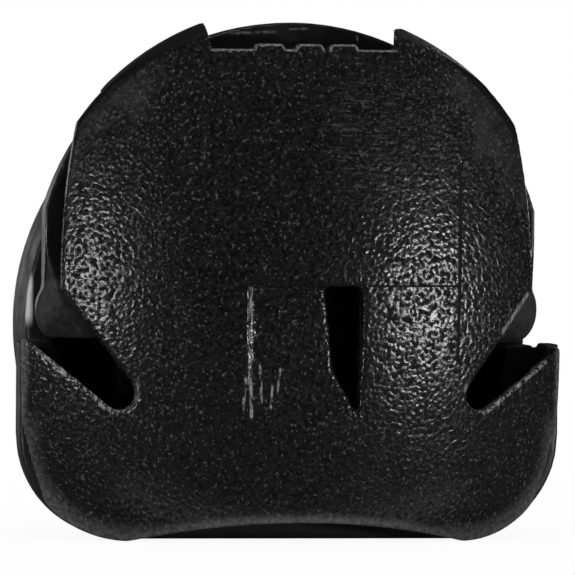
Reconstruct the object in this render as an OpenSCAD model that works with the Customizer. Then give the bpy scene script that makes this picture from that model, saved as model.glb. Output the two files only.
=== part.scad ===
// Cord lock: two moulded shells, a sprung plunger plate and its coil spring.
// Millimetres. X runs right, Y runs from the front to the back, Z runs up. The lobes rest on z = 0.

/* [Body] */
// Width over the lower lobes
body_w = 20; // [17:0.5:26]
// Depth from the front face to the back
body_d = 14.5; // [13:0.25:18]
// Depth of the front shell, up to the parting plane
front_d = 4.7; // [4.5:0.1:6]
// Height of the centre of the front arch
shoulder_z = 9.85; // [9.6:0.05:12]
// How much smaller the front arch is than half the width
arch_inset = 0.25; // [0:0.05:0.6]
// How much lower the centre of the rear arch sits
rear_drop = 2.1; // [1:0.05:2.4]
// How much smaller the rear arch is than half the width
rear_inset = 0.45; // [0.3:0.05:0.6]
// How much narrower the rear block is on each side
rear_step = 0.7; // [0.5:0.05:0.8]
// Radius of the lower corners
corner_r = 3.8; // [2.5:0.1:4.5]
// Rise of the hollow under the lobes
foot_rise = 0.77; // [0.2:0.05:1]
// Wall thickness of both shells
wall = 1.2; // [0.9:0.05:1.5]

/* [Front face] */
// Radius of the face across its width
face_r = 14; // [13:0.5:30]
// Radius of the face over its height
crown_r = 31; // [22:1:60]
// Height of the foremost point of the face
face_z = 9; // [7:0.25:11]
// Thickness of the face wall at its middle
face_t = 1.4; // [1.1:0.05:1.8]
// Radius of the inner side of the face across its width
face_in_r = 18; // [17:0.5:40]
// Half width of the dome where its sides bulge most
dome_half = 8.68; // [8.2:0.02:8.75]
// Radius of the dome sides
dome_side_r = 26; // [16:0.5:40]
// How far the ball that rounds the upper edge of the face stands past half the width
edge_over = 0.65; // [0.4:0.05:1]
// Width of the notch at the top
notch_w = 6.86; // [4:0.1:9]
// Depth of the notch below the arch
notch_depth = 1.6; // [0.6:0.05:2.2]
// Distance from the front to where the notch widens
notch_lip = 2.9; // [2.6:0.1:3.6]
// How much the notch widens at its right end behind the lip
notch_wide = 0.3; // [0.1:0.05:0.6]
// Height of the nubs on the notch floor
nub_h = 0.2; // [0.1:0.02:0.3]

/* [Side slots] */
// Distance of the round slot end from the middle
slot_x = 6.62; // [6.3:0.02:7]
// Height of the round slot end
slot_z = 5.42; // [5.2:0.02:6]
// Radius of the round slot end
slot_r = 0.58; // [0.4:0.02:0.7]
// Slope of the upper slot edge in degrees
slot_upper = 53.5; // [48:0.5:60]
// Slope of the lower slot edge in degrees
slot_lower = 40; // [36:0.5:44]
// How much flatter the lower edge of the right slot runs, in degrees
slot_flare = 4.5; // [0:0.5:6]

/* [Face recess] */
// Width of the recess
recess_w = 4.28; // [3.4:0.02:5]
// Distance of the right side of the recess from the middle
recess_right = 2; // [1.6:0.02:2.4]
// Height of the top of the recess
recess_top = 9.4; // [8.8:0.05:10]
// Height over which the recess runs out
recess_h = 5; // [3.5:0.1:5.4]
// Depth of the recess at its top
recess_deep = 0.38; // [0.25:0.02:0.6]
// Width of the sloped left side of the recess
recess_slope = 0.2; // [0.1:0.02:0.4]
// Width of the wedge opening at its top
wedge_w = 1.38; // [0.8:0.02:1.6]

/* [Plunger] */
// Thickness of the plunger plate
plate_t = 1.5; // [1.3:0.05:1.8]
// How far the plate lies inside the front arch
plate_inset = 0.3; // [0.2:0.05:0.6]
// How much lower the centre of the plate arch sits
plate_drop = 0.28; // [0.2:0.02:0.5]
// Half width of the plate at its straight sides
plate_half = 9.1; // [8.6:0.05:9.15]
// Height of the underside of the wings
wing_z = 7.35; // [7.3:0.05:7.7]
// Half width over the wings
wing_half = 9.35; // [9.2:0.05:9.4]
// Radius of the wings
wing_r = 1.4; // [1.3:0.05:1.7]
// Depth of the slanted lead on each wing
lead_d = 1.15; // [0.8:0.05:1.2]
// Travel of the plunger
travel = 3; // [2:0.1:3.1]
// Sliding gap in front of and behind the plate
slide_gap = 0.12; // [0.08:0.01:0.2]
// Sliding gap at the sides of the plate and the pad
side_gap = 0.15; // [0.1:0.01:0.25]
// Half width of the thumb pad
pad_half = 5.4; // [4.5:0.1:5.8]
// Height of the underside of the thumb pad
pad_z = 12; // [11.6:0.1:13]
// Wall around the hollows of the thumb pad
pad_wall = 0.8; // [0.6:0.05:1]
// Depth of the hollows of the thumb pad
pad_core = 2.8; // [1:0.1:3.2]

/* [Jaws] */
// Half width of the two jaws
jaw_half = 6; // [5:0.1:6.2]
// Top of the moving jaw at rest
jaw_z = 12.2; // [12:0.1:12.6]
// Thickness of the moving jaw
jaw_t = 1.9; // [1.5:0.1:1.9]
// Reach of the moving jaw in front of the plate
jaw_reach = 2; // [1.6:0.1:2.2]
// Gap between the jaws at rest
jaw_gap = 1.2; // [0.9:0.1:1.6]
// Underside of the roof over the cord passage
roof_z = 16.4; // [15.8:0.1:16.8]
// Pitch of the jaw teeth
tooth_pitch = 2; // [1.5:0.1:2.5]
// Height of the jaw teeth
tooth_h = 0.4; // [0.2:0.05:0.5]

/* [Stops and joining pegs] */
// Half width of the stop lugs on the plunger
lug_half = 5.2; // [4:0.1:5.3]
// Height of the top of the stop lugs at rest
lug_z = 6.15; // [6.1:0.05:6.25]
// Thickness of the stop lugs
lug_t = 0.95; // [0.7:0.05:1]
// Thickness of the stop ledge in the front shell
ledge_t = 0.75; // [0.6:0.05:0.8]
// Clearance between the stop lugs and the ledge
stop_gap = 0.12; // [0.08:0.01:0.15]
// Diameter of the joining pegs
peg_d = 1.6; // [1.2:0.1:2]
// Length of the joining pegs
peg_len = 1.4; // [1:0.1:1.5]
// Clearance around the joining pegs
peg_gap = 0.06; // [0.04:0.01:0.1]
// Wall around the joining pegs
peg_wall = 0.5; // [0.4:0.05:0.7]

/* [Spring] */
// Wire diameter
wire_d = 0.5; // [0.4:0.02:0.6]
// Clearance in front of and behind the spring
spring_clear = 0.12; // [0.1:0.01:0.2]
// Number of turns
turns = 8; // [6:0.5:9]
// Gap between the spring and its seats
seat_gap = 0.02; // [0.01:0.01:0.05]
// Clearance between the spring and the pins inside it
pin_gap = 0.2; // [0.15:0.01:0.3]
// Length of the pins inside the spring
pin_len = 2.4; // [1.5:0.1:2.5]

/* [Rear shell] */
// Radius of the back across its width
back_r = 22; // [18:0.5:40]
// Radius of the back over its height
back_crown_r = 45; // [36:1:80]
// Height of the rearmost point of the back
back_z = 7.5; // [6.5:0.1:8.5]
// Thickness of the rear floor
floor_t = 1.3; // [1:0.05:1.6]
// Height of the bottom of the thumb scoop
scoop_z = 14.4; // [13.8:0.1:15]
// Radius of the thumb scoop
scoop_r = 9; // [8:0.5:14]
// Width of the opening behind the plate at each flank
flank_gap = 2.2; // [1.5:0.1:2.6]
// Height of the top of the flank opening
flank_z = 13.6; // [12.5:0.1:14]
// Fall of the floor of the flank opening towards the inside
flank_fall = 0.4; // [0.1:0.05:0.6]

/* [Hidden] */
$fn = 96;
eps = 0.02;
far = 60;
half_w = body_w / 2;
front_y = -body_d / 2;
back_y = body_d / 2;
part_y = front_y + front_d;
plate_y0 = part_y + slide_gap;
plate_y1 = plate_y0 + plate_t;
rim_y = plate_y1 + slide_gap;
arch_r = half_w - arch_inset;
edge_r = half_w + edge_over;
plate_r = arch_r - plate_inset;
lobe_z = wing_z + 0.05;
plate_z = shoulder_z - plate_drop;
wing_x = wing_half - wing_r;
wing_mid = wing_z + 1.05;
rear_r = half_w - rear_inset;
rear_z = shoulder_z - rear_drop;
rear_half = half_w - rear_step;
rear_corner = corner_r + 0.2;
rim_lead = 0.35;
flank_x = rear_half - wall - 1.2;
notch_z = shoulder_z + arch_r - notch_depth;
foot_half = half_w - corner_r;
foot_r = (foot_half * foot_half + foot_rise * foot_rise) / (2 * foot_rise);
side_in = half_w - wall;
front_floor = floor_t + foot_rise;
ledge_z0 = lug_z + stop_gap;
ledge_z1 = ledge_z0 + ledge_t;
well_in = lug_half + 1.4;
well_out = wing_half + side_gap;
well_z = wing_z - travel - side_gap;
skirt_half = well_in - side_gap;
skirt_z = lug_z - lug_t;
anvil_z = jaw_z + jaw_gap;
teeth = floor(2 * (jaw_half - 0.4) / tooth_pitch);
ledge_seat = wing_z - side_gap;
back_in_r = back_r - wall;
back_in_crown = back_crown_r - wall;
spring_dz = max(back_z - floor_t, pad_z - back_z);
spring_sag = back_in_crown - sqrt(back_in_crown * back_in_crown - spring_dz * spring_dz);
spring_od = back_y - wall - spring_sag - rim_y - 2 * spring_clear;
spring_r = (spring_od - wire_d) / 2;
spring_y = rim_y + spring_clear + spring_od / 2;
spring_z0 = floor_t + seat_gap;
spring_z1 = pad_z - seat_gap;
pin_d = spring_od - 2 * wire_d - 2 * pin_gap;
peg_x = well_in + peg_d / 2 + peg_wall;
peg_z = floor_t + peg_d / 2 + 0.3;
boss_x = peg_x - peg_d / 2 - peg_wall;
boss_z = peg_z + peg_d / 2 + peg_wall;

// Lays a drawing in X and Z and gives it depth from y0 to y1
module slab(y0, y1) {
  translate([0, y1, 0])
    rotate([90, 0, 0])
      linear_extrude(y1 - y0)
        children();
}

// Lays a drawing in Y and Z and gives it width from x0 to x1
module bar(x0, x1) {
  translate([x0, 0, 0])
    rotate([90, 0, 90])
      linear_extrude(x1 - x0)
        children();
}

// Box between two corners
module box(a, b) {
  translate(a)
    cube(b - a);
}

// Copies a piece to the other side
module both_sides() {
  children();
  mirror([1, 0, 0])
    children();
}

// Upright barrel with radius r at height z and a side of radius crown
module barrel(y, r, crown, z) {
  translate([0, y, 0])
    rotate_extrude()
      intersection() {
        translate([r - crown, z])
          circle(crown);
        translate([0, -2])
          square([far, 28]);
      }
}

// Outline of the lower block with its rounded corners
module block_outline(half, r, top) {
  translate([-half + r, 0])
    square([2 * half - 2 * r, top]);
  translate([-half, r])
    square([2 * half, top - r]);
  translate([-half + r, r])
    circle(r);
  translate([half - r, r])
    circle(r);
}

// Front face outline

// Slanted side slot on the right, open to the flank, with its inner end rounded in short steps
module slot_outline(lower) {
  up = [cos(slot_upper), sin(slot_upper)];
  low = [cos(lower), sin(lower)];
  start = slot_upper + 90;
  sweep = lower + 180 - slot_upper;
  steps = 10;
  round_end = [
    for (i = [0 : steps])
      [slot_x, slot_z] + slot_r * [cos(start + sweep * i / steps), sin(start + sweep * i / steps)]
  ];
  a = round_end[0];
  b = round_end[steps];
  reach_up = (dome_half - a[0]) / up[0];
  reach_low = (half_w + 1 - b[0]) / low[0];
  polygon(concat(
    round_end,
    [
      b + reach_low * low,
      [half_w + 1, a[1] + reach_up * up[1]],
      a + reach_up * up
    ]
  ));
}

// Dome of the front face between its bulging sides
module dome_outline() {
  intersection() {
    translate([0, shoulder_z])
      circle(arch_r);
    translate([dome_half - dome_side_r, shoulder_z])
      circle(dome_side_r);
    translate([dome_side_r - dome_half, shoulder_z])
      circle(dome_side_r);
    translate([-far / 2, slot_z - 1])
      square([far, far]);
  }
}

// Front outline with its notch and hollow foot
module front_outline() {
  difference() {
    union() {
      dome_outline();
      block_outline(half_w, corner_r, lobe_z);
    }
    translate([-notch_w / 2, notch_z])
      square([notch_w, 5]);
    translate([0, foot_rise - foot_r])
      circle(foot_r);
  }
}

// Front shell

// Space that the face may fill, rounded along its upper edge
module face_space() {
  translate([0, front_y + 6, face_z + 0.22])
    sphere(edge_r);
  box([-half_w - 1, front_y - 1, -1], [half_w + 1, part_y + 1, face_z + 2.5]);
}

// Space behind the face wall, leaving a solid boss for the peg in each corner
module front_hollow() {
  intersection() {
    difference() {
      box([-side_in, front_y, front_floor], [side_in, part_y + 1, roof_z]);
      both_sides()
        box([boss_x, front_y - 1, 0], [half_w, part_y + 2, boss_z]);
    }
    barrel(front_y + face_t + face_in_r, face_in_r, crown_r - face_t, face_z);
  }
}

// Recess in the face, with a sloped left side, that runs out where the face curves back
module face_recess() {
  left = recess_right - recess_w;
  deep = front_y + recess_deep;
  translate([0, 0, recess_top - recess_h])
    linear_extrude(recess_h)
      polygon([
        [left - recess_slope / recess_deep, front_y - 1],
        [left + recess_slope, deep],
        [recess_right, deep],
        [recess_right, front_y - 1]
      ]);
}

// Wedge opening along the right side of the recess
module face_wedge() {
  right = recess_right;
  slab(front_y - 1, part_y + 1)
    polygon([
      [right - wedge_w, recess_top],
      [right, recess_top],
      [right - 0.1, recess_top - 0.95 * recess_h],
      [right - 0.42 * wedge_w, recess_top - 0.78 * recess_h],
      [right - 0.77 * wedge_w, recess_top - 0.6 * recess_h]
    ]);
}

// Row of cross teeth, sitting on z = 0 and pointing up
module tooth_row(y0, y1) {
  for (i = [0 : teeth - 1])
    slab(y0, y1)
      polygon([
        [(i - teeth / 2) * tooth_pitch, -eps],
        [(i + 1 - teeth / 2) * tooth_pitch, -eps],
        [(i + 0.5 - teeth / 2) * tooth_pitch, tooth_h]
      ]);
}

// Fixed jaw under the roof
module anvil() {
  y0 = plate_y0 - jaw_reach;
  y1 = part_y - slide_gap;
  box([-jaw_half, y0, anvil_z + tooth_h], [jaw_half, y1, roof_z + eps]);
  translate([0, 0, anvil_z + tooth_h])
    mirror([0, 0, 1])
      tooth_row(y0, y1);
}

// Ledge that stops the plunger at the top of its travel
module stop_ledge() {
  difference() {
    intersection() {
      box([-lug_half - 0.2, front_y, ledge_z0], [lug_half + 0.2, part_y - slide_gap, ledge_z1]);
      barrel(front_y + face_r, face_r - 0.4, crown_r - 0.4, face_z);
    }
    box([recess_right - wedge_w - 0.2, front_y, 0], [recess_right + 0.6, part_y, far]);
  }
}

// Small nubs on the front edge of the notch floor
module nubs() {
  intersection() {
    for (x = [[-1.8, -0.8], [-0.3, 0.62], [0.94, 1.9]])
      box([x[0], front_y, notch_z - eps], [x[1], front_y + 2, notch_z + nub_h]);
    barrel(front_y + face_r, face_r, crown_r, face_z);
  }
}

// Wider part of the notch behind its lip
module notch_back() {
  half = notch_w / 2;
  box([-half, front_y + notch_lip, notch_z], [half + notch_wide, part_y + 1, far]);
}

module front_shell() {
  color([0.035, 0.035, 0.037])
    union() {
      difference() {
        intersection() {
          slab(front_y, part_y)
            front_outline();
          barrel(front_y + face_r, face_r, crown_r, face_z);
          face_space();
        }
        front_hollow();
        face_recess();
        face_wedge();
        notch_back();
        slab(front_y - 1, part_y + 1)
          slot_outline(slot_lower - slot_flare);
        mirror([1, 0, 0])
          slab(front_y - 1, part_y + 1)
            slot_outline(slot_lower);
      }
      anvil();
      stop_ledge();
      nubs();
      both_sides()
        translate([peg_x, part_y - eps, peg_z])
          rotate([-90, 0, 0])
            cylinder(d = peg_d, h = peg_len + eps);
    }
}

// Rear shell

// Outline of the rear shell behind the plate
module rear_outline(inset) {
  intersection() {
    translate([0, rear_z])
      circle(rear_r - inset);
    translate([-far / 2, rear_z - 3])
      square([far, far]);
  }
  block_outline(rear_half - inset, rear_corner - inset, rear_z);
}

// Arched part of the rear shell, with a slanted rim
module rear_arch() {
  lead = 4;
  intersection() {
    translate([0, rim_y, rear_z])
      rotate([-90, 0, 0])
        union() {
          cylinder(r1 = rear_r - rim_lead, r2 = rear_r, h = lead);
          translate([0, 0, lead])
            cylinder(r = rear_r, h = back_y - rim_y - lead);
        }
    box([-far / 2, rim_y, rear_z - 3], [far / 2, back_y, far]);
  }
}

// Body of the rear shell before it is hollowed
module rear_body() {
  rear_arch();
  slab(rim_y, back_y)
    block_outline(rear_half, rear_corner, rear_z);
  slab(part_y, rim_y + eps)
    block_outline(half_w, corner_r, ledge_seat);
}

// Hollow behind the rim
module rear_hollow() {
  intersection() {
    slab(rim_y - eps, back_y)
      difference() {
        rear_outline(wall);
        translate([-far / 2, -far + floor_t])
          square([far, far]);
      }
    barrel(back_y - back_r, back_in_r, back_in_crown, back_z);
  }
}

// Slide way of the thumb pad through the top
module pad_way() {
  intersection() {
    box([-pad_half - side_gap, rim_y - eps, pad_z - travel], [pad_half + side_gap, back_y, far]);
    barrel(back_y - back_r, back_in_r, back_in_crown, back_z);
  }
}

// Slide way of the plate, with a well for each wing
module plate_way() {
  box([-well_in, part_y - eps, floor_t], [well_in, rim_y + eps, far]);
  both_sides()
    box([well_in - eps, part_y - eps, well_z], [well_out, rim_y, far]);
}

// Opening behind the plate at each flank
module flank_opening() {
  both_sides()
    slab(rim_y - eps, rim_y + flank_gap)
      polygon([
        [flank_x, ledge_seat - flank_fall],
        [half_w, ledge_seat],
        [half_w + 1, ledge_seat],
        [half_w + 1, flank_z],
        [flank_x, flank_z],
      ]);
}

module rear_shell() {
  color([0.03, 0.03, 0.032])
    union() {
      difference() {
        intersection() {
          rear_body();
          barrel(back_y - back_r, back_r, back_crown_r, back_z);
        }
        rear_hollow();
        plate_way();
        pad_way();
        flank_opening();
        slab(rim_y - eps, back_y + 1)
          translate([0, scoop_z + scoop_r])
            circle(scoop_r);
        both_sides()
          translate([peg_x, part_y - eps, peg_z])
            rotate([-90, 0, 0])
              cylinder(d = peg_d + 2 * peg_gap, h = peg_len + 0.2);
      }
      translate([0, spring_y, floor_t - eps])
        cylinder(d = pin_d, h = pin_len + eps);
    }
}

// Plunger

// Outline of the sliding plate, with a round wing low on each side
module plate_outline() {
  intersection() {
    translate([0, plate_z])
      circle(plate_r);
    translate([-plate_half, plate_z])
      square([2 * plate_half, far]);
  }
  translate([-plate_half, wing_mid])
    square([2 * plate_half, plate_z - wing_mid + eps]);
  translate([-wing_x, wing_z])
    square([2 * wing_x, wing_mid - wing_z + eps]);
  for (x = [-wing_x, wing_x])
    intersection() {
      translate([x, wing_mid])
        circle(wing_r);
      translate([-far / 2, wing_z])
        square([far, far]);
    }
  translate([-skirt_half, skirt_z])
    square([2 * skirt_half, wing_z - skirt_z + eps]);
}

// Space the thumb pad may fill, drawn in by a margin from the back wall
module pad_space(margin) {
  barrel(back_y - back_r, back_in_r - margin, back_in_crown - margin, back_z);
}

// Thumb pad behind the plate, hollowed from below beside the spring
module thumb_pad() {
  difference() {
    intersection() {
      box([-pad_half, plate_y1 - eps, pad_z], [pad_half, back_y, far]);
      translate([0, plate_y0, plate_z])
        sphere(plate_r);
      pad_space(side_gap);
    }
    intersection() {
      both_sides()
        box(
          [spring_od / 2 + pad_wall, plate_y1 + pad_wall, pad_z - 1],
          [pad_half - pad_wall, back_y, pad_z + pad_core]
        );
      pad_space(side_gap + pad_wall);
    }
  }
}

// Corner cut off the front of the right wing, w wide, h high and lead_d deep
module wing_corner(w, h) {
  x = wing_half + 0.15;
  y = plate_y0 - 0.01;
  z = wing_z - 0.01;
  polyhedron(
    [[x - w, y, z], [x, y, z], [x, y + lead_d, z], [x, y, z + h]],
    [[0, 1, 2], [0, 3, 1], [1, 3, 2], [0, 2, 3]]
  );
}

// Slanted lead that guides a cord past the wing, in two facets
module wing_lead() {
  wing_corner(1.9, 2.6);
  wing_corner(1.4, 4.85);
}

module plunger() {
  color([0.03, 0.03, 0.03])
    difference() {
      union() {
        slab(plate_y0, plate_y1)
          plate_outline();
        thumb_pad();
        box([-jaw_half, plate_y0 - jaw_reach, jaw_z - jaw_t], [jaw_half, plate_y0 + eps, jaw_z - tooth_h]);
        translate([0, 0, jaw_z - tooth_h])
          tooth_row(plate_y0 - jaw_reach, plate_y0 + eps);
        box([-lug_half, plate_y0 - 1.2, skirt_z], [lug_half, plate_y0 + eps, lug_z]);
        translate([0, spring_y, pad_z - pin_len])
          cylinder(d = pin_d, h = pin_len + eps);
      }
      both_sides()
        wing_lead();
    }
}

// Spring

rings = 8 * turns;
sides = 6;

// Point on the spring wire: ring i, corner j
function wire_point(i, j) =
  let (
    t = i / rings,
    turn = 360 * turns * t,
    lift = atan2((spring_z1 - spring_z0 - wire_d) / turns, 2 * PI * spring_r),
    a = 360 * j / sides,
    out = wire_d / 2 * cos(a),
    up = wire_d / 2 * sin(a)
  )
  [
    (spring_r + out) * cos(turn) + up * sin(lift) * sin(turn),
    (spring_r + out) * sin(turn) - up * sin(lift) * cos(turn),
    spring_z0 + wire_d / 2 + t * (spring_z1 - spring_z0 - wire_d) + up * cos(lift)
  ];

wire_points = [for (i = [0 : rings]) for (j = [0 : sides - 1]) wire_point(i, j)];

wire_faces = concat(
  [[for (j = [0 : sides - 1]) j]],
  [for (i = [0 : rings - 1]) for (j = [0 : sides - 1]) [
    i * sides + j,
    (i + 1) * sides + j,
    (i + 1) * sides + (j + 1) % sides
  ]],
  [for (i = [0 : rings - 1]) for (j = [0 : sides - 1]) [
    i * sides + j,
    (i + 1) * sides + (j + 1) % sides,
    i * sides + (j + 1) % sides
  ]],
  [[for (j = [sides - 1 : -1 : 0]) rings * sides + j]]
);

// Least distance between points of neighbouring turns
coil_gap = min([
  for (i = [0 : rings - 8])
    for (j = [0 : sides - 1])
      for (k = [0 : sides - 1])
        norm(wire_point(i + 8, k) - wire_point(i, j))
]);
echo(coil_gap = coil_gap);

module spring() {
  color([0.62, 0.63, 0.64])
    translate([0, spring_y, 0])
      polyhedron(wire_points, wire_faces);
}

front_shell();
rear_shell();
plunger();
spring();
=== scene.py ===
# %% [markdown]
# # A cord lock, dressed
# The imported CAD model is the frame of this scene. Every piece here is measured in metres and sits where its
# CAD solid sits. This lesson softens the moulded edges, winds the spring, and gives each piece the finish
# that the real plastic and wire have.

import math

import bpy
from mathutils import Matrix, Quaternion, Vector


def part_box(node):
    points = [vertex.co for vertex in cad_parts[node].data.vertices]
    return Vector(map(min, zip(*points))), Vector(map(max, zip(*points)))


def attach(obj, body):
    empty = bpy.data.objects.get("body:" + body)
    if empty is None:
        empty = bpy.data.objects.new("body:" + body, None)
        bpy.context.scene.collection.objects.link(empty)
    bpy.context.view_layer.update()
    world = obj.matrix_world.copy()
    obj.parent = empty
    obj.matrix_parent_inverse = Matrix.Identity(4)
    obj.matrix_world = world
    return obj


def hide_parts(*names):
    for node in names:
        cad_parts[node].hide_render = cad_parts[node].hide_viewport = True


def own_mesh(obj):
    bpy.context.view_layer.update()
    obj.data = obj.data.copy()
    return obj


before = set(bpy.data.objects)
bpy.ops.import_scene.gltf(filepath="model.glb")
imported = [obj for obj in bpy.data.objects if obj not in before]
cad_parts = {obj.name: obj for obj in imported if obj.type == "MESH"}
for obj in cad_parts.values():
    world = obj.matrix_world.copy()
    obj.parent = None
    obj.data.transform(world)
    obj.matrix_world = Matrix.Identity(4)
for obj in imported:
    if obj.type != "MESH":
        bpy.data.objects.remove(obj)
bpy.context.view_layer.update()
MM = 0.001


bpy.ops.object.select_all(action="DESELECT")

# %% [markdown]
# ## The camera
# The photograph was taken almost straight on, from a few degrees to the left and a touch above, and it leans
# by a fraction of a degree. A long lens keeps the perspective weak. The camera could be set by hand, but
# three angles and a distance can each be matched to the photograph on their own. The aim point is where the
# middle of the picture meets the plane of the dome's side edges.

# %% Set the camera
YAW = math.radians(-8.0)
PITCH = math.radians(1.3)
ROLL = math.radians(0.4)
CAMERA_DISTANCE = 0.26
PICTURE_WIDTH = 21.03 * MM
SENSOR_WIDTH = 36.0
AIM = Vector((-0.385 * MM, -4.25 * MM, 9.3 * MM))


def direction(azimuth, elevation):
    """The direction at an azimuth, which is 0 in front of the lock, and an elevation, both in radians."""
    level = math.cos(elevation)
    return Vector((math.sin(azimuth) * level, -math.cos(azimuth) * level, math.sin(elevation)))


back = direction(YAW, PITCH)
bpy.ops.object.camera_add(location=AIM + back * CAMERA_DISTANCE)
camera = bpy.context.object
camera.name = "camera"
camera.rotation_mode = "QUATERNION"
camera.rotation_quaternion = (-back).to_track_quat("-Z", "Y") @ Quaternion((0, 0, 1), ROLL)
camera.data.sensor_width = SENSOR_WIDTH
camera.data.lens = SENSOR_WIDTH * CAMERA_DISTANCE / PICTURE_WIDTH
camera.data.clip_start = 0.01
camera.data.clip_end = 10.0
bpy.context.scene.camera = camera
print("lens in mm:", round(camera.data.lens, 1))

# %% [markdown]
# ## Softened mouldings
# A moulded part has no knife edges: the steel of the mould is polished and the plastic shrinks a little.
# Each shell could be modelled again with bevels, but its CAD solid already has every cut. So a copy of the
# solid is merged, rebuilt on a fine even grid by the Remesh modifier, and relaxed by the Smooth modifier,
# which rounds all edges by about the same small radius. Where that leaves too many triangles, the Decimate
# modifier thins the flat places.

# %% Helpers that soften a copy of a CAD node
MERGE_WITHIN = 0.001 * MM
SMOOTHING = 0.5
SMOOTHING_ROUNDS = 7
MOST_TRIANGLES = 180000


def apply_modifier(piece, kind, name, **settings):
    modifier = piece.modifiers.new(name, kind)
    for key, value in settings.items():
        setattr(modifier, key, value)
    bpy.ops.object.modifier_apply(modifier=modifier.name)


def soft_moulding(node, name, grid):
    piece = bpy.data.objects.new(name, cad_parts[node].data.copy())
    bpy.context.scene.collection.objects.link(piece)
    bpy.ops.object.select_all(action="DESELECT")
    piece.select_set(True)
    bpy.context.view_layer.objects.active = piece
    piece.data.materials.clear()
    bpy.ops.object.mode_set(mode="EDIT")
    bpy.ops.mesh.select_all(action="SELECT")
    bpy.ops.mesh.remove_doubles(threshold=MERGE_WITHIN)
    bpy.ops.object.mode_set(mode="OBJECT")
    apply_modifier(piece, "REMESH", "even grid", mode="VOXEL", voxel_size=grid)
    apply_modifier(piece, "SMOOTH", "round edges", factor=SMOOTHING, iterations=SMOOTHING_ROUNDS)
    triangles = 2 * len(piece.data.polygons)
    if triangles > MOST_TRIANGLES:
        apply_modifier(piece, "DECIMATE", "thin flat places", ratio=MOST_TRIANGLES / triangles)
    bpy.ops.object.shade_smooth()
    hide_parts(node)
    print(name, "triangles before:", triangles, "faces now:", len(piece.data.polygons))
    return piece


# %% Soften the three mouldings
front = soft_moulding("front_shell", "front_moulding", grid=0.085 * MM)
rear = soft_moulding("rear_shell", "rear_moulding", grid=0.1 * MM)
plunger = soft_moulding("plunger", "plunger_moulding", grid=0.09 * MM)
for piece, body in ((front, "housing"), (rear, "housing"), (plunger, "plunger")):
    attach(piece, body)
print("mouldings:", [piece.name for piece in (front, rear, plunger)])

# %% [markdown]
# ## The spring
# The real spring is round drawn wire. It could be a curve with a round section. Here a small circle, a touch
# slimmer than the CAD wire, is the section, and the Screw modifier winds it up the axis, one revolution for
# each turn, just as a spring is wound on a mandrel.

# %% Wind the spring
WIRE = 0.5 * MM
SLIMMER = 0.97
SECTION_POINTS = 14
TURNS = 8
STEPS_PER_TURN = 28
low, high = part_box("spring")
spring_radius = (high.x - low.x) / 2 - WIRE / 2
bpy.ops.object.select_all(action="DESELECT")
bpy.ops.mesh.primitive_circle_add(
    vertices=SECTION_POINTS,
    radius=WIRE / 2 * SLIMMER,
    fill_type="NGON",
    location=(spring_radius, 0, 0),
    rotation=(math.pi / 2, 0, 0),
)
spring = bpy.context.object
spring.name = "spring_wire"
bpy.ops.object.transform_apply(location=True, rotation=True, scale=True)
apply_modifier(
    spring,
    "SCREW",
    "wind",
    axis="Z",
    angle=2 * math.pi,
    iterations=TURNS,
    screw_offset=(high.z - low.z - WIRE) / TURNS,
    steps=STEPS_PER_TURN,
    render_steps=STEPS_PER_TURN,
    use_merge_vertices=True,
)
spring.location = (0.0, (low.y + high.y) / 2, low.z + WIRE / 2)
bpy.ops.object.transform_apply(location=True, rotation=True, scale=True)
print("spring radius in mm:", round(spring_radius / MM, 3))

# %% Close its two ends
SHARP_ANGLE = math.radians(40)
bpy.ops.object.mode_set(mode="EDIT")
bpy.ops.mesh.select_all(action="SELECT")
bpy.ops.mesh.remove_doubles(threshold=MERGE_WITHIN)
bpy.ops.mesh.select_all(action="DESELECT")
bpy.ops.mesh.select_non_manifold(
    extend=False, use_wire=False, use_multi_face=False, use_non_contiguous=False, use_verts=False
)
bpy.ops.mesh.edge_face_add()
bpy.ops.mesh.select_all(action="SELECT")
bpy.ops.mesh.normals_make_consistent(inside=False)
bpy.ops.object.mode_set(mode="OBJECT")
bpy.ops.object.shade_smooth_by_angle(angle=SHARP_ANGLE)
print("spring faces:", len(spring.data.polygons))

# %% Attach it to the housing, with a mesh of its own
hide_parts("spring")
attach(spring, "housing")
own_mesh(spring)

# %% [markdown]
# ## Finishes
# All three mouldings are the same black plastic, but each tool was finished in its own way. A finish could
# be painted, but node materials keep their detail at any distance. The helpers below make a material, add
# nodes to it, and read the place on the piece in object coordinates, so that a pattern stays where it is.
# A node's output knows its own node tree, so most helpers need only the outputs that they work on.


# %% Helpers that make a material and its nodes
def feed(socket, value):
    """Link a node's output to a socket, or set the socket to a number or a colour."""
    if isinstance(value, bpy.types.NodeSocket):
        socket.id_data.links.new(value, socket)
    else:
        socket.default_value = value


def add_node(tree, kind, **values):
    node = tree.nodes.new(kind)
    for key, value in values.items():
        if key in node.inputs:
            feed(node.inputs[key], value)
        else:
            setattr(node, key, value)
    return node


def new_material(name, specular):
    """Make a material, and return it with its shader and the place on the piece."""
    material = bpy.data.materials.new(name)
    material.use_nodes = True
    shader = material.node_tree.nodes["Principled BSDF"]
    shader.inputs["Specular IOR Level"].default_value = specular
    place = add_node(material.node_tree, "ShaderNodeTexCoord").outputs["Object"]
    return material, shader, place


# %% Helpers for arithmetic
def single(operation, value):
    node = add_node(value.id_data, "ShaderNodeMath", operation=operation)
    feed(node.inputs[0], value)
    return node.outputs["Value"]


def combined(operation, *values):
    """Join numbers and outputs, two at a time from the left."""
    joined = values[0]
    for value in values[1:]:
        tree = next(v.id_data for v in (joined, value) if isinstance(v, bpy.types.NodeSocket))
        node = add_node(tree, "ShaderNodeMath", operation=operation)
        feed(node.inputs[0], joined)
        feed(node.inputs[1], value)
        joined = node.outputs["Value"]
    return joined


def total(*values):
    return combined("ADD", *values)


def difference(first, second):
    return combined("SUBTRACT", first, second)


def product(*values):
    return combined("MULTIPLY", *values)


def largest(*values):
    return combined("MAXIMUM", *values)


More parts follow.
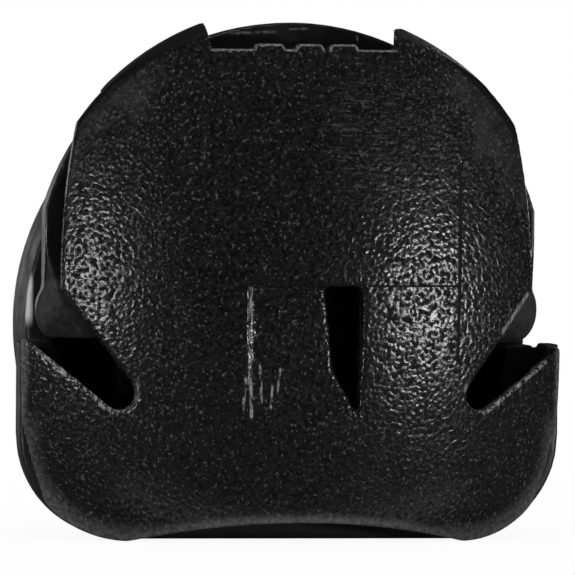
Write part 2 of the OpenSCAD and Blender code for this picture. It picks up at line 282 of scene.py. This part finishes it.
def distance(wide, tall):
    return single("SQRT", total(product(wide, wide), product(tall, tall)))


# %% Helpers for soft steps
NOISE_LOW = 0.3
NOISE_HIGH = 0.7


def ramp(value, start, end, low=0.0, high=1.0):
    """Go smoothly from low to high while the value goes from start to end."""
    limits = {"Value": value, "From Min": start, "From Max": end, "To Min": low, "To Max": high}
    node = add_node(value.id_data, "ShaderNodeMapRange", interpolation_type="SMOOTHSTEP", **limits)
    return node.outputs["Result"]


def ramp_mm(value, start, end, low=0.0, high=1.0):
    return ramp(value, start * MM, end * MM, low, high)


def between(value, low, high, soft):
    """A mask that is 1 from low to high, with soft ends, all in millimetres."""
    return product(ramp_mm(value, low - soft, low), ramp_mm(value, high + soft, high))


def scaled(mask, low, high):
    return ramp(mask, 0.0, 1.0, low, high)


def spread(pattern, low, high):
    """Stretch a noise, which keeps to the middle of its range, from low to high."""
    return ramp(pattern, NOISE_LOW, NOISE_HIGH, low, high)


# %% Helpers for patterns, colour and bump
def axes_of(place):
    node = add_node(place.id_data, "ShaderNodeSeparateXYZ", Vector=place)
    return node.outputs["X"], node.outputs["Y"], node.outputs["Z"]


def noise(place, scale, detail=2.0, roughness=0.5):
    node = add_node(
        place.id_data, "ShaderNodeTexNoise", Vector=place, Scale=scale, Detail=detail, Roughness=roughness
    )
    return node.outputs["Fac"]


def stretched(place, scale):
    return add_node(place.id_data, "ShaderNodeMapping", Vector=place, Scale=scale).outputs["Vector"]


def mix(first, second, share):
    node = add_node(share.id_data, "ShaderNodeMix", data_type="RGBA", A=first, B=second, Factor=share)
    return node.outputs["Result"]


def raise_bump(shader, height, depth, strength):
    node = add_node(shader.id_data, "ShaderNodeBump", Strength=strength, Distance=depth, Height=height)
    feed(shader.inputs["Normal"], node.outputs["Normal"])


# %% [markdown]
# ## Grained black plastic
# The face of the front mould was etched, so the plastic carries a fine leathery grain, about a quarter of a
# millimetre from one hill to the next. The grain could be sculpted, but it is too fine for the mesh, so it
# is a bump made of two noises. What is seen are the glints on the glossy tops of the hills, because the
# pits between them are matt. The grain is weaker where the upper rim and the lower corners of the face were
# polished, and stronger in the recess.

# %% Grain
GRIT_SHARE = 0.03
grained, shader, place = new_material("grained black plastic", specular=0.37)
across, deep, up = axes_of(place)
aside = single("ABSOLUTE", across)
hills = noise(place, scale=6000.0, detail=0.5)
grit = noise(place, scale=13000.0, detail=1.0)
grain = total(hills, product(grit, GRIT_SHARE))
mottle = noise(place, scale=6500.0, detail=1.0)
patches = noise(place, scale=650.0, detail=2.0, roughness=0.6)
print("grain made")

# %% Polished rim and corners, and the recess
ARCH_X = -0.4
ARCH_Z = 9.2
ARCH_UNEVENNESS = 2.2
LOBE_X = 6.2
LOBE_Z = 3.8
unevenness = product(difference(patches, 0.5), ARCH_UNEVENNESS * MM)
arch = total(distance(difference(across, ARCH_X * MM), difference(up, ARCH_Z * MM)), unevenness)
arch_rim = product(ramp_mm(arch, 8.1, 9.5), ramp_mm(aside, 4.2, 6.6), ramp_mm(up, 10.5, 13.0))
from_lobe = distance(largest(difference(aside, LOBE_X * MM), 0.0), difference(up, LOBE_Z * MM))
corner_rim = product(ramp_mm(from_lobe, 2.7, 3.6), ramp_mm(up, 3.8, 2.4))
polished = largest(arch_rim, corner_rim)
in_recess = product(between(across, -2.0, 1.9, soft=0.2), between(up, 4.6, 9.2, soft=0.4))
print("polished rim made")

# %% [markdown]
# ## Lines, scratches and painted edge highlights on the face
# Where the inserts of the mould met, they left fine straight lines on the face. A line could be cut into
# the mesh, but it is too fine for that, so each one is a mask: the place is moved and turned until the
# line runs up the Z axis, and is compared with its length and width. A row gives a line's x, z, length and
# width in millimetres and its lean in degrees. Lighter grey lines are painted as highlights along some
# edges: the left edge of the recess, which also has a few scratches at its foot, the lips of the side
# slots, the lower edge of the face, and the floor of the notch with its three small nubs.

# %% Helpers for straight lines on the face
LINE_CORE = 0.4
LINE_END = 0.15


def line_on_face(place, x, z, length, width, lean):
    """A line centred at x and z, in millimetres, that leans by some degrees from upright."""
    turn = add_node(place.id_data, "ShaderNodeMapping", vector_type="TEXTURE", Vector=place)
    turn.inputs["Location"].default_value = (x * MM, 0, z * MM)
    turn.inputs["Rotation"].default_value = (0, math.radians(lean), 0)
    sideways, _, along = axes_of(turn.outputs["Vector"])
    side = ramp_mm(single("ABSOLUTE", sideways), width, LINE_CORE * width)
    return product(side, ramp_mm(single("ABSOLUTE", along), length / 2, length / 2 - LINE_END))


def lines_on_face(place, rows):
    return largest(*[line_on_face(place, *row) for row in rows])


# %% Lines that the mould left
on_face = ramp_mm(deep, -4.2, -4.6)
in_front = ramp_mm(deep, -3.0, -3.4)
witness_rows = (
    (5.72, 10.3, 7.4, 0.07, 1.0),
    (3.9, 9.42, 3.6, 0.04, 90),
    (-1.6, 9.46, 5.4, 0.03, 90),
)
crease = line_on_face(place, 7.48, 15.32, 0.9, 0.06, 62)
witness = largest(product(lines_on_face(place, witness_rows), on_face), product(crease, in_front))
print("mould lines made:", len(witness_rows) + 1)

# %% Recess edge and slot lips: painted edge highlights, with scratches at the foot of the recess
SLOT_END_X = 6.78
SLOT_END_Z = 5.6
# Pale lines painted as highlights along the left edge of the recess, and a few scratches at its foot.
recess_rows = (
    (-2.1, 7.6, 3.7, 0.1, 0.5),
    (-2.3, 5.5, 1.3, 0.07, 4),
    (-2.05, 5.3, 1.5, 0.08, -2),
    (-1.7, 5.9, 1.6, 0.06, -3),
    (-1.3, 5.4, 1.0, 0.06, 4),
    (-1.05, 5.9, 1.2, 0.05, 6),
)
# Pale lines painted as highlights along the lips of the side slots.
lower_lip_rows = (
    (-8.4, 6.08, 3.3, 0.12, -50),
    (8.2, 5.76, 3.0, 0.12, 54.5),
)
recess_edge = lines_on_face(place, recess_rows)
lower_lips = lines_on_face(place, lower_lip_rows)
upper_lip = line_on_face(place, 8.02, 8.36, 2.0, 0.16, 36.5)
# A pale ring painted as a highlight round the lower end of each slot.
ring = distance(difference(aside, SLOT_END_X * MM), difference(up, SLOT_END_Z * MM))
slot_ends = product(ramp_mm(ring, 0.9, 0.8), ramp_mm(ring, 0.6, 0.68), ramp_mm(up, 6.0, 5.6, high=0.8))
# A ragged noise breaks up the painted edge highlights.
ragged = ramp(noise(stretched(place, (1.0, 1.0, 0.3)), scale=9000.0, detail=2.0, roughness=0.6), 0.42, 0.62)
print("rubbed lines made:", len(recess_rows) + len(lower_lip_rows) + 1)

# %% Painted highlights on the notch floor, and all painted edge highlights and scratches together
NOTCH_FLOOR = 17.96
NUB_TOP = 18.15
NUB_SIDE = 18.05
# Pale lines painted as highlights on the front edge of the notch floor and around its nubs.
notch_rows = [
    (-2.62, NOTCH_FLOOR, 1.7, 0.05, 90),
    (-0.55, NOTCH_FLOOR, 0.5, 0.05, 90),
    (2.67, NOTCH_FLOOR, 1.6, 0.05, 90),
]
for left, right in ((-1.8, -0.8), (-0.3, 0.62), (0.94, 1.9)):
    notch_rows.append(((left + right) / 2, NUB_TOP, right - left, 0.05, 90))
    notch_rows.append((left, NUB_SIDE, 0.36, 0.06, 20))
    notch_rows.append((right, NUB_SIDE, 0.36, 0.06, -20))
notch_edge = product(lines_on_face(place, notch_rows), scaled(ragged, 0.4, 0.9))
face_highlights_and_scratches = product(largest(recess_edge, slot_ends), ragged)
face_highlights_and_scratches = product(largest(face_highlights_and_scratches, notch_edge), on_face)
lip_highlights = largest(product(lower_lips, ragged), product(upper_lip, scaled(ragged, 0.3, 0.9)))
# All painted edge highlights and scratches of the face, in pale grey.
scratches_and_edge_highlights = largest(face_highlights_and_scratches, product(lip_highlights, in_front))
print("notch lines made:", len(notch_rows))

# %% Pale specks, painted as glints
# The pale specks are painted glints on the grain.
SPECK_STRENGTH = 0.4
cells = add_node(place.id_data, "ShaderNodeTexVoronoi", Vector=place, Scale=1500.0)
pick = add_node(place.id_data, "ShaderNodeSeparateColor", Color=cells.outputs["Color"])
near_middle = ramp(cells.outputs["Distance"], 0.09, 0.03)
specks = product(near_middle, ramp(pick.outputs["Red"], 0.86, 0.88), SPECK_STRENGTH)
print("specks made")

# %% Painted highlight along the lower edge
FOOT_RISE = 0.77 * MM
FOOT_HALF = 6.2 * MM
# A highlight painted pale along the rounded lower and left edges of the face.
lobe_edge = product(ramp_mm(from_lobe, 2.95, 3.85), ramp_mm(up, 5.0, 3.4))
bow = product(product(across, across), FOOT_RISE / FOOT_HALF**2)
above_foot = difference(total(up, bow), FOOT_RISE)
foot_edge = product(ramp_mm(above_foot, 0.45, 0.05), ramp_mm(aside, 6.4, 6.0))
side_edge = product(ramp_mm(aside, 9.7, 9.95), between(up, 2.5, 7.2, soft=0.6))
painted_foot_highlight = product(largest(lobe_edge, foot_edge, side_edge), spread(mottle, 0.2, 0.42))
print("pale lower edge made")

# %% [markdown]
# ## Colour and gloss of the face
# Black plastic that has been handled isn't one black. The tops of the hills are a little paler, and the
# pits are painted blackest, as painted shade in the grain. Sparse paler specks are painted glints, more of
# them towards the sides, and fine level lines show at the upper right, where something brushed along it.
# The polished rim and lower corners are painted paler, as a painted sheen. A picture could be painted for
# this, but masks that are mixed from dark to pale follow the grain exactly. The lines of the mould are
# black again, and the outer edge of the arch is painted black, as painted shade.

# %% Worn tops, painted shade in the pits, painted glints and sheen, and brushed lines
PIT_LEVEL = 0.355
TOP_LEVEL = 0.535
RIM_GLOSS = 0.6
CORNER_SHEEN = 0.05
tops = largest(ramp(hills, PIT_LEVEL, TOP_LEVEL), product(polished, RIM_GLOSS))
# The pits are painted darker than the hill tops, as painted shade in the grain.
hill_tops = product(spread(mottle, 0.02, 0.09), scaled(tops, 0.1, 1.0))
# The polished arch rim is painted paler, as a painted sheen.
rim_painted_sheen = product(arch_rim, ramp(patches, 0.35, 0.65, low=0.21, high=0.36), spread(mottle, 0.6, 1.0))
# Sparse specks painted as glints, more of them towards the sides, where the lamps glint.
more_aside = product(ramp_mm(aside, 2.5, 6.0, high=0.05), ramp_mm(up, 5.0, 8.0, low=0.5))
speckle = ramp(total(noise(place, scale=8500.0, detail=1.0), more_aside), 0.58, 0.82)
brushed = noise(stretched(place, (0.1, 1.0, 1.6)), scale=8000.0, detail=1.0)
where_brushed = (between(across, 1.5, 6.0, soft=2.0), between(up, 13.0, 16.5, soft=1.0))
brush_lines = product(ramp(brushed, 0.54, 0.7, high=0.4), *where_brushed)
# Hill tops, painted glints, brushed lines, and the painted sheen of the rim and lower corners.
wear_and_painted_sheen = largest(hill_tops, speckle, brush_lines, rim_painted_sheen, product(corner_rim, CORNER_SHEEN))
print("worn tops made")

# %% Join the colours of the face
PIT_BLACK = (0.0006, 0.0006, 0.0006, 1)
WEAR_AND_SHEEN_BLACK = (0.05, 0.05, 0.051, 1)
SCRATCH_AND_HIGHLIGHT_GREY = (0.16, 0.16, 0.16, 1)
LINE_BLACK = (0.001, 0.001, 0.001, 1)
ARCH_MIDDLE_Z = 9.85
# The outer edge of the arch is painted black, as painted shade along its rounding.
outer_edge = ramp_mm(distance(aside, difference(up, ARCH_MIDDLE_Z * MM)), 9.36, 9.54)
outer_edge = product(outer_edge, ramp_mm(up, 12.0, 13.0))
# Pale grey for the painted highlights and glints, and for the scratches.
pale_marks = largest(scratches_and_edge_highlights, specks, painted_foot_highlight)
colour = mix(PIT_BLACK, WEAR_AND_SHEEN_BLACK, wear_and_painted_sheen)
colour = mix(colour, SCRATCH_AND_HIGHLIGHT_GREY, pale_marks)
colour = mix(colour, LINE_BLACK, largest(witness, outer_edge))
feed(shader.inputs["Base Color"], colour)
print("face colour made")

# %% Gloss and bump of the face
PIT_ROUGHNESS = 0.9
LINE_ROUGHNESS = 0.8
EDGE_ROUGHNESS = 0.4
POLISH = 0.6
cloudy = spread(patches, 0.2, 0.26)
dull_lines = largest(product(witness, LINE_ROUGHNESS), product(outer_edge, EDGE_ROUGHNESS))
feed(shader.inputs["Roughness"], largest(cloudy, ramp(tops, 1.0, 0.0, high=PIT_ROUGHNESS), dull_lines))
relief = product(difference(1.0, product(polished, POLISH)), scaled(in_recess, 1.0, 1.4))
raise_bump(shader, difference(product(grain, relief), witness), depth=0.031 * MM, strength=1.0)
front.data.materials.append(grained)
print("made", grained.name, "with", len(grained.node_tree.nodes), "nodes")

# %% [markdown]
# ## Satin and smooth black plastic
# The rear shell and the plunger come from polished tools. Their surface is smooth to the eye, and only a
# faint cloudiness in the gloss keeps it from looking like lacquer, which one roughness all over would give.
# The back of the rear shell is where fingers press, so it has the grain again, lightly worn, and its left
# rim has a pale streak painted on as a highlight. The plunger is rubbed by the shells each time it slides,
# so it is the glossier of the two. The pale streaks at its top are painted highlights, and its fins are
# painted paler as painted light.

# %% Helper for polished black plastic
GLOSSIER = 0.06
DULLER = 0.1


def polished_plastic(name, rough, ripple):
    """Make the material, and return its cloudy roughness and its faint ripple too."""
    material, shader, place = new_material(name, specular=0.45)
    cloud = noise(place, scale=900.0, detail=3.0, roughness=0.6)
    cloudy = spread(cloud, rough - GLOSSIER, rough + DULLER)
    return material, shader, place, cloudy, noise(place, scale=ripple)


# %% Satin plastic of the rear shell
SATIN_BLACK = (0.0035, 0.0035, 0.0036, 1)
HIGHLIGHT_AND_WEAR_GREY = (0.4, 0.4, 0.4, 1)
BACK_GLOSS = 0.18
BACK_GRAIN = 4.0
satin, shader, place, cloudy, ripples = polished_plastic("satin black plastic", rough=0.46, ripple=2600.0)
across, deep, up = axes_of(place)
rim_height = product(ramp_mm(up, 7.6, 8.2), ramp_mm(up, 9.9, 9.2))
# A pale streak painted on the left rear rim, as a painted highlight.
rim_painted_highlight = product(ramp_mm(across, -9.1, -9.25), ramp_mm(deep, 1.75, 1.5), rim_height)
on_back = ramp_mm(deep, 5.2, 6.1)
back_hills = noise(place, scale=5200.0, detail=0.5)
back_tops = ramp(back_hills, PIT_LEVEL, TOP_LEVEL)
back_mottle = ramp(noise(place, scale=6500.0, detail=1.0), 0.34, 0.7, low=0.005, high=0.055)
handled = product(on_back, back_mottle, scaled(back_tops, 0.4, 1.0))
feed(shader.inputs["Base Color"], mix(SATIN_BLACK, HIGHLIGHT_AND_WEAR_GREY, largest(rim_painted_highlight, handled)))
pits = product(on_back, ramp(back_tops, 1.0, 0.0))
feed(shader.inputs["Roughness"], largest(difference(cloudy, product(on_back, BACK_GLOSS)), pits))
raise_bump(shader, total(ripples, product(on_back, back_hills, BACK_GRAIN)), depth=0.02 * MM, strength=0.5)
rear.data.materials.append(satin)
print("made", satin.name)

# %% Smooth plastic of the plunger
SMOOTH_BLACK = (0.003, 0.003, 0.0031, 1)
HIGHLIGHT_STREAK_GREY = (0.07, 0.07, 0.07, 1)
# Pale streaks painted as highlights on the top of the plunger, one of them along its seam.
highlight_rows = (
    (-1.6, 18.63, 2.1, 0.07, 88),
    (0.2, 18.78, 0.8, 0.05, 88),
    (2.4, 18.45, 0.35, 0.05, -10),
)
smooth, shader, place, cloudy, ripples = polished_plastic("smooth black plastic", rough=0.3, ripple=2200.0)
across, _, up = axes_of(place)
patches = noise(place, scale=4000.0, detail=2.0, roughness=0.6)
top_highlights = product(lines_on_face(place, highlight_rows), ramp(patches, 0.35, 0.6))
# The fins are painted paler, as painted light on their sides.
fin_painted_light = product(between(up, 6.0, 9.3, soft=0.4), ramp_mm(single("ABSOLUTE", across), 7.0, 7.8))
fin_painted_light = product(fin_painted_light, spread(patches, 0.12, 0.3))
feed(shader.inputs["Base Color"], mix(SMOOTH_BLACK, HIGHLIGHT_STREAK_GREY, largest(top_highlights, fin_painted_light)))
feed(shader.inputs["Roughness"], cloudy)
raise_bump(shader, ripples, depth=0.02 * MM, strength=0.5)
plunger.data.materials.append(smooth)
print("made", smooth.name)

# %% [markdown]
# ## Spring wire
# Drawn wire is bright steel with a slightly uneven polish. A plain metal would look like chrome, so one fine
# noise varies both its roughness and its surface.

# %% Steel wire
STEEL_GREY = (0.62, 0.63, 0.64, 1)
steel, shader, place = new_material("drawn steel wire", specular=0.5)
shader.inputs["Metallic"].default_value = 1.0
shader.inputs["Base Color"].default_value = STEEL_GREY
drawn = noise(place, scale=5000.0, detail=2.0, roughness=0.6)
feed(shader.inputs["Roughness"], spread(drawn, 0.2, 0.42))
raise_bump(shader, drawn, depth=0.01 * MM, strength=0.3)
spring.data.materials.append(steel)
print("made", steel.name)

# %% [markdown]
# ## Floor and world
# The lock stands on a small white card in front of white. More light could make them white, but it would
# grey the black plastic too, so they are white to the camera by the Light Path node. In the shine of the
# pieces both are dim, as in a studio with black cloths around a black object, apart from a strip of the
# card under the front edge of the lock. The world still gives everything an even soft light.


# %% Helper that tells rays apart
def ray_kinds(tree):
    path = add_node(tree, "ShaderNodeLightPath")
    shine = largest(path.outputs["Is Glossy Ray"], path.outputs["Is Transmission Ray"])
    return path.outputs["Is Camera Ray"], shine


# %% Floor
FLOOR_SIZE = 0.09
FLOOR_DROP = 0.02 * MM
WHITE = (1, 1, 1, 1)
CARD_WHITE = (0.9, 0.9, 0.9, 1)
CARD_ROUGHNESS = 0.9
CARD_DIM = 0.04
STRIP_BRIGHT = 0.6
GLOW_SHARE = 0.94
bpy.ops.object.select_all(action="DESELECT")
bpy.ops.mesh.primitive_plane_add(size=FLOOR_SIZE, location=(0, 0, -FLOOR_DROP))
floor = bpy.context.object
floor.name = "floor"
bpy.ops.object.transform_apply(location=True, rotation=True, scale=True)
card, shader, place = new_material("white card", specular=0.0)
shader.inputs["Base Color"].default_value = CARD_WHITE
shader.inputs["Roughness"].default_value = CARD_ROUGHNESS
across, deep, _ = axes_of(place)
to_camera, shine = ray_kinds(card.node_tree)
# The strip glows to reflections as a painted light, which puts a pale reflection on the lower edge.
strip = product(between(deep, -7.5, -6.5, soft=0.8), ramp_mm(single("ABSOLUTE", across), 10.5, 9.5))
brightness = largest(to_camera, scaled(strip, CARD_DIM, STRIP_BRIGHT))
glow = add_node(card.node_tree, "ShaderNodeEmission", Color=WHITE, Strength=brightness)
surface = add_node(card.node_tree, "ShaderNodeMixShader", Fac=product(largest(to_camera, shine), GLOW_SHARE))
feed(surface.inputs[1], shader.outputs["BSDF"])
feed(surface.inputs[2], glow.outputs["Emission"])
feed(card.node_tree.nodes["Material Output"].inputs["Surface"], surface.outputs["Shader"])
floor.data.materials.append(card)
print("floor made")

# %% World
SOFT_LIGHT = 0.85
DIM_IN_FRONT = 0.03
DIM_BEHIND = 0.05
world = bpy.data.worlds.new("studio")
bpy.context.scene.world = world
world.use_nodes = True
sky = world.node_tree.nodes["Background"]
sky.inputs["Color"].default_value = WHITE
outward = add_node(world.node_tree, "ShaderNodeTexCoord").outputs["Generated"]
to_camera, shine = ray_kinds(world.node_tree)
_, deep, _ = axes_of(outward)
mirrored = ramp(deep, 0.2, 0.85, DIM_IN_FRONT, DIM_BEHIND)
strength = total(product(difference(1.0, shine), SOFT_LIGHT), product(shine, mirrored))
feed(sky.inputs["Strength"], largest(strength, to_camera))
bpy.context.scene.view_settings.view_transform = "Standard"
print("world made")

# %% [markdown]
# ## Lamps
# Two low, wide soft boxes stand at about the height of the lock, out to its left and right. The crowned
# face mirrors them as two soft glints, one near each side. One large lamp in front would be simpler, but it
# would grey the whole face. A weaker lamp above picks out the notch, and two behind shape the rear shell.

# %% Set the lamps
LAMP_AIM = Vector((0, 0, 9 * MM))


def soft_box(name, azimuth, elevation, distance, size, watts):
    away = direction(math.radians(azimuth), math.radians(elevation))
    bpy.ops.object.light_add(type="AREA", location=LAMP_AIM + away * distance)
    lamp = bpy.context.object
    lamp.name = name
    lamp.rotation_mode = "QUATERNION"
    lamp.rotation_quaternion = away.to_track_quat("Z", "Y")
    lamp.data.shape = "RECTANGLE"
    lamp.data.size, lamp.data.size_y = size
    lamp.data.energy = watts
    print(name, "watts:", watts)


soft_box("left soft box", azimuth=-63, elevation=1, distance=0.25, size=(0.08, 0.012), watts=0.17)
soft_box("right soft box", azimuth=46, elevation=-2.2, distance=0.25, size=(0.08, 0.012), watts=0.245)
soft_box("top soft box", azimuth=-8, elevation=64, distance=0.3, size=(0.06, 0.04), watts=0.13)
soft_box("back left soft box", azimuth=-160, elevation=4, distance=0.3, size=(0.08, 0.06), watts=0.02)
soft_box("back soft box", azimuth=150, elevation=10, distance=0.3, size=(0.1, 0.1), watts=0.09)
